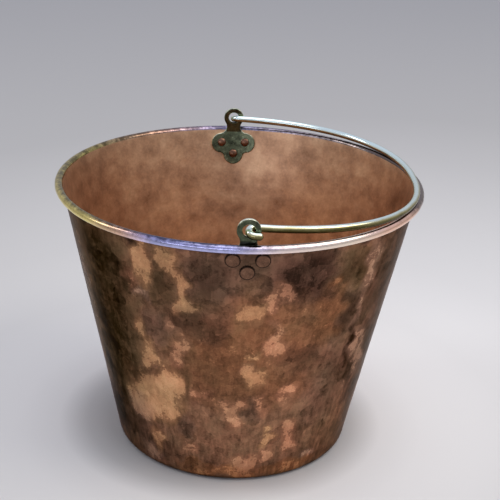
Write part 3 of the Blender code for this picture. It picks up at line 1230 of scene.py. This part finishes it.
@dataclass
class BrassEar:
    """A cast ear: three lobes on the inside of the wall, a neck past the rim and a round eye."""

    sheet: Sheet
    side: Side
    thickness: float = 0.0036
    edge: float = 0.0009
    edge_steps: int = 4
    eye_radius: float = 0.0110
    hole_radius: float = 0.00575
    lobe_radius: float = 0.0110
    neck_hollow: float = 0.0075
    lobe_hollow: float = 0.0040
    rivet_spread: float = 0.0135
    upper_drop: float = 0.0170
    lower_drop: float = 0.0295
    cut_spacing: float = 0.0016
    cuts_across: Span = (-0.026, 0.026)
    cuts_up: Span = (0.24, 0.305)
    casting: Waver = Waver(0.05, 5)
    flat_polish: float = 0.4
    edge_polish_and_highlight: float = 0.5
    steps_per_turn: int = 72
    fewest_steps: int = 3

    def __post_init__(self) -> None:
        """Takes the height of the eye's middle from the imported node's top."""
        self.eye_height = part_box("front_ear")[1].z - self.eye_radius

    def hollow(
        self, first: Vector, first_radius: float, second: Vector, second_radius: float, radius: float
    ) -> Vector:
        """Finds the centre of the hollow that runs smoothly into two round lobes, on the right.

        Args:
            first: the middle of the lower lobe.
            first_radius: its radius.
            second: the middle of the upper lobe.
            second_radius: its radius.
            radius: the hollow's own radius.

        Returns:
            The hollow's centre.
        """
        near, far = first_radius + radius, second_radius + radius
        across = second - first
        along = (near**2 - far**2 + across.length_squared) / (2 * across.length)
        aside = (near**2 - along**2) ** 0.5
        way = across.normalized()
        return first + way * along + Vector((way.y, -way.x, 0)) * aside

    def outline(self, bm: BMesh) -> None:
        """Draws the flat ear's edge and its eye: width along X, height along Y.

        Args:
            bm: an empty mesh.
        """
        lobe = self.lobe_radius
        lower = Vector((0, self.sheet.height - self.lower_drop, 0))
        upper = Vector((self.rivet_spread, self.sheet.height - self.upper_drop, 0))
        eye = Vector((0, self.eye_height, 0))
        waist = self.hollow(lower, lobe, upper, lobe, self.lobe_hollow)
        neck = self.hollow(upper, lobe, eye, self.eye_radius, self.neck_hollow)
        meetings = (
            (lower, waist, lobe),
            (upper, waist, lobe),
            (upper, neck, lobe),
            (eye, neck, self.eye_radius),
        )
        stops = [lower - Y_AXIS * lobe]
        stops += [middle + (hollow - middle).normalized() * radius for middle, hollow, radius in meetings]
        stops.append(eye + Y_AXIS * self.eye_radius)
        pen = Pen(bm, bm.verts.new(stops[0]))
        arcs = ((lower, 1), (waist, -1), (upper, 1), (neck, -1), (eye, 1))
        for (centre, turn), start, end in zip(arcs, stops, stops[1:]):
            begins = atan2(start.y - centre.y, start.x - centre.x)
            ends = atan2(end.y - centre.y, end.x - centre.x)
            angle = turn * ((turn * (ends - begins)) % tau)
            steps = max(self.fewest_steps, round(abs(angle) / tau * self.steps_per_turn))
            pen.arc(centre, Z_AXIS, angle, steps)
        mirror_over(bm, "X")
        hole = Matrix.Translation(eye)
        bmesh.ops.create_circle(bm, segments=self.steps_per_turn // 2, radius=self.hole_radius, matrix=hole)

    def plate(self, bm: BMesh) -> None:
        """Raises the ear from its outline, with its outer edge and its eye rounded over on both sides.

        Args:
            bm: the ear's edge and its eye.
        """
        bmesh.ops.triangle_fill(bm, edges=bm.edges, use_beauty=True)
        for face in bm.faces:
            if face.normal.z < 0:
                face.normal_flip()
        raised = bmesh.ops.extrude_face_region(bm, geom=bm.faces[:])["geom"]
        top = [item for item in raised if isinstance(item, BMFace)]
        moved = [item for item in raised if isinstance(item, BMVert)]
        bmesh.ops.translate(bm, verts=moved, vec=Z_AXIS * (self.thickness / 2 - self.edge))
        for step in range(self.edge_steps):
            before, after = (pi / 2 * (step + extra) / self.edge_steps for extra in (0, 1))
            inset = self.edge * (cos(before) - cos(after))
            rise = self.edge * (sin(after) - sin(before))
            bmesh.ops.inset_region(
                bm, faces=top, thickness=inset, depth=rise, use_even_offset=True, use_boundary=True
            )
        sunk = [face for face in bm.faces if all(abs(vert.co.z) < MERGE for vert in face.verts)]
        bmesh.ops.delete(bm, geom=sunk, context="FACES")
        mirror_over(bm, "Z")

    def seat(self, point: Vector) -> Vector:
        """Finds where a point of the flat ear lies: curved with the wall up to the rim, and flat above it.

        Args:
            point: the point, with its height along Y.

        Returns:
            The point in the bucket's frame, on the front side.
        """
        bend = self.sheet.roll.z
        outside = -self.sheet.thickness / 2 - self.sheet.seat
        radius = self.sheet.radius_at(min(point.y, bend), outside) - self.thickness / 2 + point.z
        neck_share = (point.y - bend) / (self.eye_height - self.eye_radius - bend)
        curl_share = 1 - min(max(neck_share, 0), 1)
        curl = radius - (radius**2 - point.x**2) ** 0.5
        return Vector((point.x, curl * curl_share - radius, point.y))

    def build(self) -> Object:
        """Builds the ear on its side of the bucket, cut finely enough to curve.

        Returns:
            The ear.
        """
        bm = bmesh.new()
        self.outline(bm)
        self.plate(bm)
        for axis, (first, last) in ((X_AXIS, self.cuts_across), (Y_AXIS, self.cuts_up)):
            for cut in range(int((last - first) / self.cut_spacing)):
                geometry = bm.verts[:] + bm.edges[:] + bm.faces[:]
                place = axis * (first + cut * self.cut_spacing)
                bmesh.ops.bisect_plane(bm, geom=geometry, dist=MERGE, plane_co=place, plane_no=axis)
        bmesh.ops.recalc_face_normals(bm, faces=bm.faces)
        bm.normal_update()
        # The rounded edges are painted lighter than the flat faces: wear and a painted highlight
        polish = bm.verts.layers.float.new("polish")
        for vert in bm.verts:
            vert[polish] = self.flat_polish + self.edge_polish_and_highlight * (1 - abs(vert.normal.z))
            vert.co += vert.normal * self.casting.at(vert.co)
        for vert in bm.verts:
            vert.co = self.seat(vert.co)
        turn = Matrix.Rotation(self.side.value, 3, "Z")
        bmesh.ops.rotate(bm, verts=bm.verts, cent=(0, 0, 0), matrix=turn)
        bmesh.ops.recalc_face_normals(bm, faces=bm.faces)
        side = self.side.name.lower()
        name = f"{side}_brass_ear"
        return add_piece(name, bm, [EAR_BRASS.material()], "bucket", f"{side}_ear")


@dataclass
class CopperRivet:
    """A hand-set rivet: a low flat head outside the wall, a shank, and a hammered dome inside the ear."""

    sheet: Sheet
    ear: BrassEar
    node: str
    aside: float
    drop: float
    head_radius: float = 0.0072
    head_height: float = 0.0008
    head_edge: float = 0.0005
    head_steps: int = 8
    edge_steps: int = 4
    under_steps: int = 2
    # The painted shade ring: dark beyond this distance from the rivet's axis, and this tone within it
    shade_ring_start: float = 0.0062
    head_tone: float = 0.47
    shank_radius: float = 0.0030
    shank_steps: int = 4
    dome_radius: float = 0.0048
    dome_height: float = 0.0020
    dome_steps: int = 8
    turn_steps: int = 48
    uneven: Waver = Waver(0.22, 4.5)

    def matrix(self) -> Matrix:
        """Finds the rivet's place on the wall's outside.

        Returns:
            The place, with Z pointing straight out of the wall.
        """
        height = self.sheet.height - self.drop
        radius = self.sheet.radius_at(height, self.sheet.thickness / 2)
        angle = asin(self.aside / radius) - pi / 2 + self.ear.side.value
        level = Vector((cos(angle), sin(angle), 0))
        normal = level * self.sheet.normal.x + Z_AXIS * self.sheet.normal.z
        place = level * radius + Z_AXIS * height
        return Matrix.Translation(place) @ normal.to_track_quat("Z", "Y").to_matrix().to_4x4()

    def outline(self, bm: BMesh) -> None:
        """Draws half of the rivet's section in the XZ plane, from the head's middle to the dome's.

        Args:
            bm: an empty mesh.
        """
        bottom = self.sheet.seat
        top = bottom + self.head_height
        inside = -(self.sheet.thickness + 2 * self.sheet.seat + self.ear.thickness)
        flat = self.head_radius - self.head_edge
        pen = Pen(bm, bm.verts.new((0, 0, top)))
        pen.straight(X_AXIS * flat, self.head_steps)
        pen.arc(Vector((flat, 0, top - self.head_edge)), Y_AXIS, pi / 2, self.edge_steps)
        pen.straight(-Z_AXIS * (self.head_height - self.head_edge))
        pen.straight(X_AXIS * (self.shank_radius - self.head_radius), self.under_steps)
        pen.straight(Z_AXIS * (inside - bottom), self.shank_steps)
        pen.straight(X_AXIS * (self.dome_radius - self.shank_radius))
        for step in range(self.dome_steps):
            before, after = (pi / 2 * (step + extra) / self.dome_steps for extra in (0, 1))
            sideways = self.dome_radius * (cos(after) - cos(before))
            down = -self.dome_height * (sin(after) - sin(before))
            pen.straight(Vector((sideways, 0, down)))

    def build(self) -> Object:
        """Builds the rivet, with a painted shade ring round its head and the head's edge out of round.

        Returns:
            The rivet.
        """
        bm = bmesh.new()
        self.outline(bm)
        spin_full(bm, self.turn_steps)
        matrix = self.matrix()
        bmesh.ops.transform(bm, matrix=matrix, verts=bm.verts)
        bm.normal_update()
        centre, axis = matrix.translation, matrix.col[2].to_3d()
        polish = bm.verts.layers.float.new("polish")
        for vert in bm.verts:
            along = (vert.co - centre).dot(axis)
            aside = vert.co - centre - axis * along
            # A painted shade ring round the head's edge
            vert[polish] = self.head_tone if aside.length < self.shade_ring_start else 0.0
            if along > 0 and aside.length > self.head_radius / 2:
                vert.co += aside.normalized() * self.uneven.at(vert.co)
        name = f"{self.node}_head"
        return add_piece(name, bm, [RIVET_COPPER.material()], "bucket", self.node)


@dataclass
class BailRod:
    """The bail: a brass rod, bent to a bow, hooked outward through both eyes and folded on the rim."""

    ear: BrassEar
    pin_height: float
    radius: float = 0.0035
    hook_clearance: float = 0.0005
    hook_dip: float = 0.0036
    lead: float = 0.0070
    tip: float = 0.0126
    tip_steps: int = 7
    bow_fullness: float = 2.25
    bow_steps: int = 110
    bow_crowding: float = 1.25
    hook_steps: int = 24
    bevel_resolution: int = 8
    wave: Waver = Waver(0.12, 28)
    # The rod's painted highlight and painted dark underside: middle tone, swing, and how steeply the lit
    # way rises
    painted_light_middle: float = 0.5
    painted_light_sway: float = 0.45
    painted_light_rise: float = 1.5

    def __post_init__(self) -> None:
        """Works out the hook and the bow from the ears."""
        sheet = self.ear.sheet
        face = sheet.radius_at(sheet.roll.z, -sheet.thickness / 2 - sheet.seat)
        self.eye_middle = face - self.ear.thickness / 2
        self.hook = self.ear.thickness / 2 + self.hook_clearance + self.radius
        self.bow = self.eye_middle - self.hook

    def tip_angles(self) -> list[float]:
        """Angles down the round tip, from almost its point to where it is as thick as the rod."""
        return [pi / 2 * step / self.tip_steps for step in range(1, self.tip_steps + 1)]

    def path(self) -> list[Vector]:
        """Works out the rod's middle line: tip, hook and half the bow, then the mirror image.

        Returns:
            Its points, with the hinge line as the Y axis.
        """
        side, dip = self.eye_middle, self.hook_dip / 2
        half_line = []
        for angle in self.tip_angles():
            x = self.tip - self.radius * (1 - cos(angle))
            half_line.append(Vector((x, -side - self.hook, -dip)))
        for step in range(self.hook_steps + 1):
            angle = -pi / 2 - pi * step / self.hook_steps
            x, y = self.hook * (1 + cos(angle)), self.hook * sin(angle) - side
            half_line.append(Vector((x, y, dip * sin(angle))))
        power = 2 / self.bow_fullness
        for step in range(self.bow_steps):
            angle = pi / 2 * (step / self.bow_steps) ** self.bow_crowding
            x, y = self.lead + self.bow * sin(angle) ** power, -self.bow * cos(angle) ** power
            half_line.append(Vector((x, y, dip)))
        far_end = [Vector((self.lead + self.bow, 0, dip))]
        return half_line + far_end + [Vector((point.x, -point.y, point.z)) for point in half_line[::-1]]

    def droop(self) -> float:
        """How far the folded bail turns down from level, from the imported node's lowest point."""
        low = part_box("bail_handle")[0].z
        return asin((self.pin_height + self.hook_dip / 2 - self.radius - low) / (self.lead + self.bow))

    def rod(self) -> BMesh:
        """Draws the rod along its middle line, with round ends.

        Returns:
            Its mesh, with the hinge line as the Y axis.
        """
        curve = bpy.data.curves.new("bail_line", "CURVE")
        curve.dimensions = "3D"
        curve.twist_mode = "Z_UP"
        curve.bevel_depth = self.radius
        curve.bevel_resolution = self.bevel_resolution
        curve.use_fill_caps = True
        places = self.path()
        spline = curve.splines.new("POLY")
        spline.points.add(len(places) - 1)
        for point, place in zip(spline.points, places):
            point.co = (*place, 1)
        for step, angle in enumerate(self.tip_angles()):
            spline.points[step].radius = spline.points[-1 - step].radius = sin(angle)
        line = bpy.data.objects.new("bail_line", curve)
        bm = bmesh.new()
        bm.from_mesh(bpy.data.meshes.new_from_object(line))
        bpy.data.objects.remove(line)
        bmesh.ops.remove_doubles(bm, verts=bm.verts, dist=MERGE)
        return bm

    def build(self) -> Object:
        """Builds the rod as it lies folded.

        Returns:
            The rod.
        """
        bm = self.rod()
        bm.normal_update()
        for vert in bm.verts:
            vert.co += vert.normal * self.wave.at(vert.co)
        turn = Matrix.Translation(Z_AXIS * self.pin_height) @ Matrix.Rotation(self.droop(), 4, "Y")
        bmesh.ops.transform(bm, matrix=turn, verts=bm.verts)
        bmesh.ops.recalc_face_normals(bm, faces=bm.faces)
        bm.normal_update()
        # Paints the rod lighter where it faces up and in and darker underneath: a painted highlight and
        # dark reflection
        polish = bm.verts.layers.float.new("polish")
        for vert in bm.verts:
            bright_way = (Z_AXIS * self.painted_light_rise - outward(vert.co)).normalized()
            vert[polish] = self.painted_light_middle + self.painted_light_sway * vert.normal.dot(bright_way)
        return add_piece("brass_bail_rod", bm, [ROD_BRASS.material()], "bail", "bail_handle")


@dataclass(frozen=True)
class Lamp:
    """A softbox: where it stands, as seen from the bucket, its size, its power and its colour."""

    name: str
    azimuth_deg: float
    elevation_deg: float
    distance: float
    width: float
    height: float
    watts: float
    colour: str

    def place(self, aim: Vector) -> None:
        """Sets the lamp up, turned to a point.

        Args:
            aim: the point.
        """
        light = bpy.data.lights.new(self.name, "AREA")
        light.shape = "RECTANGLE"
        light.size = self.width
        light.size_y = self.height
        light.energy = self.watts
        light.color = linear(self.colour)[:3]
        lamp = add_object(self.name, light)
        azimuth, elevation = radians(self.azimuth_deg), radians(self.elevation_deg)
        way = Vector((sin(azimuth) * cos(elevation), -cos(azimuth) * cos(elevation), sin(elevation)))
        lamp.location = aim + way * self.distance
        lamp.rotation_euler = way.to_track_quat("Z", "Y").to_euler()


@dataclass
class Studio:
    """A pale floor with painted light and shade on it, a plain sky and soft lamps."""

    floor_size: float = 30.0
    floor_dark: str = "#d2d2cd"
    floor_light: str = "#f0f0eb"
    floor_roughness: float = 0.9
    floor_sheen: float = 0.1
    # A painted light ring round the bucket, darker at its foot as a painted contact shadow
    rings_centre: Vector = field(default_factory=lambda: Vector((-0.012, 0.012, 0)))
    floor_rings: Stops = (
        (0.12, "#c6c6c6"),
        (0.145, "#d8d8d8"),
        (0.175, "#ffffff"),
        (0.22, "#ffffff"),
        (0.33, "#eeeeee"),
        (0.50, "#e5e5e5"),
        (1.00, "#dcdcdc"),
    )
    # A painted pool of light at the right
    glow: Vector = field(default_factory=lambda: Vector((0.30, 0.25, 0)))
    glow_reach: float = 0.95
    aim: Vector = field(default_factory=lambda: Vector((0, 0, 0.14)))
    lamps: tuple[Lamp, ...] = (
        Lamp("large soft ceiling", 60, 74, 2.4, 2.6, 2.6, 27, "#fffaf4"),
        Lamp("warm softbox at the right", 70, 50, 2.4, 1.2, 1.0, 12, "#fff4ea"),
        Lamp("low strip in front", -25, 14, 2.4, 1.8, 0.3, 4, "#f4f2ff"),
        Lamp("strip at the left", -95, 38, 2.4, 0.5, 1.2, 6, "#ffffff"),
    )
    sky_stops: Stops = ((0.0, "#aaa8a6"), (0.6, "#c6c8dc"))
    sky_strength: float = 1.1

    def floor(self) -> None:
        """Lays the pale floor, with a painted pool of light in a broad patch at the right, and a painted
        light ring round the bucket that thins its shadow, darker at its foot as a painted contact shadow.
        """
        material, tree, shader = new_material("matt studio paper")
        place = add_node(tree, "ShaderNodeTexCoord", {}, "Object")
        away, radius = (
            add_node(tree, "ShaderNodeVectorMath", {0: place, 1: centre}, "Value", operation="DISTANCE")
            for centre in (self.glow, self.rings_centre)
        )
        share = add_node(tree, "ShaderNodeMapRange", {"Value": away, 1: 0.0, 2: self.glow_reach})
        stops = ((0.0, self.floor_light), (1.0, self.floor_dark))
        paper = add_node(tree, "ShaderNodeValToRGB", {0: share}, stops=stops)
        rings = add_node(tree, "ShaderNodeValToRGB", {0: radius}, stops=self.floor_rings)
        sockets = {0: 1, 6: paper, 7: rings}
        colour = add_node(tree, "ShaderNodeMix", sockets, 2, data_type="RGBA", blend_type="MULTIPLY")
        surface = {
            "Base Color": colour,
            "Metallic": 0,
            "Roughness": self.floor_roughness,
            "Specular IOR Level": self.floor_sheen,
        }
        feed(shader, surface)
        bm = bmesh.new()
        bmesh.ops.create_grid(bm, x_segments=1, y_segments=1, size=self.floor_size / 2)
        add_mesh("studio_floor", bm, [material])

    def sky(self) -> None:
        """Makes a plain soft sky, a little cooler overhead."""
        world = bpy.data.worlds.new("studio sky")
        bpy.context.scene.world = world
        world.use_nodes = True
        tree = world.node_tree
        way = add_node(tree, "ShaderNodeTexCoord", {}, "Generated")
        rise = add_node(tree, "ShaderNodeSeparateXYZ", {0: way}, "Z")
        colour = add_node(tree, "ShaderNodeValToRGB", {0: rise}, stops=self.sky_stops)
        feed(tree.nodes["Background"], {"Color": colour, "Strength": self.sky_strength})

    def build(self) -> None:
        """Sets the studio up."""
        self.floor()
        self.sky()
        for lamp in self.lamps:
            lamp.place(self.aim)


@dataclass
class Shot:
    """The photograph's view: where the camera stands, and how far it is turned from the bucket's middle."""

    distance: float = 1.300
    elevation_deg: float = 25.28
    azimuth_deg: float = 3.1
    pan_deg: float = 0.58
    tilt_deg: float = 2.92
    roll_deg: float = 2.0
    aim: Vector = field(default_factory=lambda: Vector((0, 0, 0.130)))
    frame_px: float = 500
    focal_px: float = 1230.75
    sensor_mm: float = 36

    @staticmethod
    def turn(first: Vector, second: Vector, angle_deg: float) -> tuple[Vector, Vector]:
        """Turns two directions of a frame together."""
        c, s = cos(radians(angle_deg)), sin(radians(angle_deg))
        return first * c + second * s, second * c - first * s

    def build(self) -> None:
        """Makes the camera and gives it to the scene."""
        elevation = radians(self.elevation_deg)
        back = Vector((0, -cos(elevation), sin(elevation)))
        place = self.aim + back * self.distance
        forward, right = -back, X_AXIS.copy()
        up = right.cross(forward)
        forward, right = self.turn(forward, right, self.pan_deg)
        forward, up = self.turn(forward, up, self.tilt_deg)
        right, up = self.turn(right, up, self.roll_deg)
        matrix = Matrix((right, up, -forward)).transposed().to_4x4()
        matrix.translation = place
        data = bpy.data.cameras.new("camera")
        data.sensor_width = self.sensor_mm
        data.lens = self.focal_px / self.frame_px * self.sensor_mm
        camera = add_object("camera", data)
        camera.matrix_world = Matrix.Rotation(radians(-self.azimuth_deg), 4, "Z") @ matrix
        bpy.context.scene.camera = camera


def main() -> None:
    """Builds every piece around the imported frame, then the studio and the camera."""
    logging.basicConfig(level=logging.INFO, format="%(message)s")
    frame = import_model()
    wall_box, floor_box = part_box("body_wall"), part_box("floor_disc")
    sheet = Sheet(rim_radius=wall_box[1].x, height=wall_box[1].z, floor_radius=floor_box[1].x)
    CopperWall(sheet).build()
    CopperFloor(sheet).build()
    wire_finish = IRON_WIRE.material()
    for slot in frame["nodes"]["rim_wire"].material_slots:
        slot.material = wire_finish
    LOG.info("rim_wire: the packed solid, in drawn iron")
    ears = [BrassEar(sheet, side) for side in Side]
    for ear in ears:
        ear.build()
        side = ear.side.name.lower()
        CopperRivet(sheet, ear, f"{side}_rivet_left", -ear.rivet_spread, ear.upper_drop).build()
        CopperRivet(sheet, ear, f"{side}_rivet_right", ear.rivet_spread, ear.upper_drop).build()
        CopperRivet(sheet, ear, f"{side}_rivet_lower", 0.0, ear.lower_drop).build()
    BailRod(ears[0], pin_height=frame["joints"][0]["pos_m"][2]).build()
    Studio().build()
    Shot().build()
    bpy.context.scene.view_settings.view_transform = "Standard"


if __name__ == "__main__":
    main()
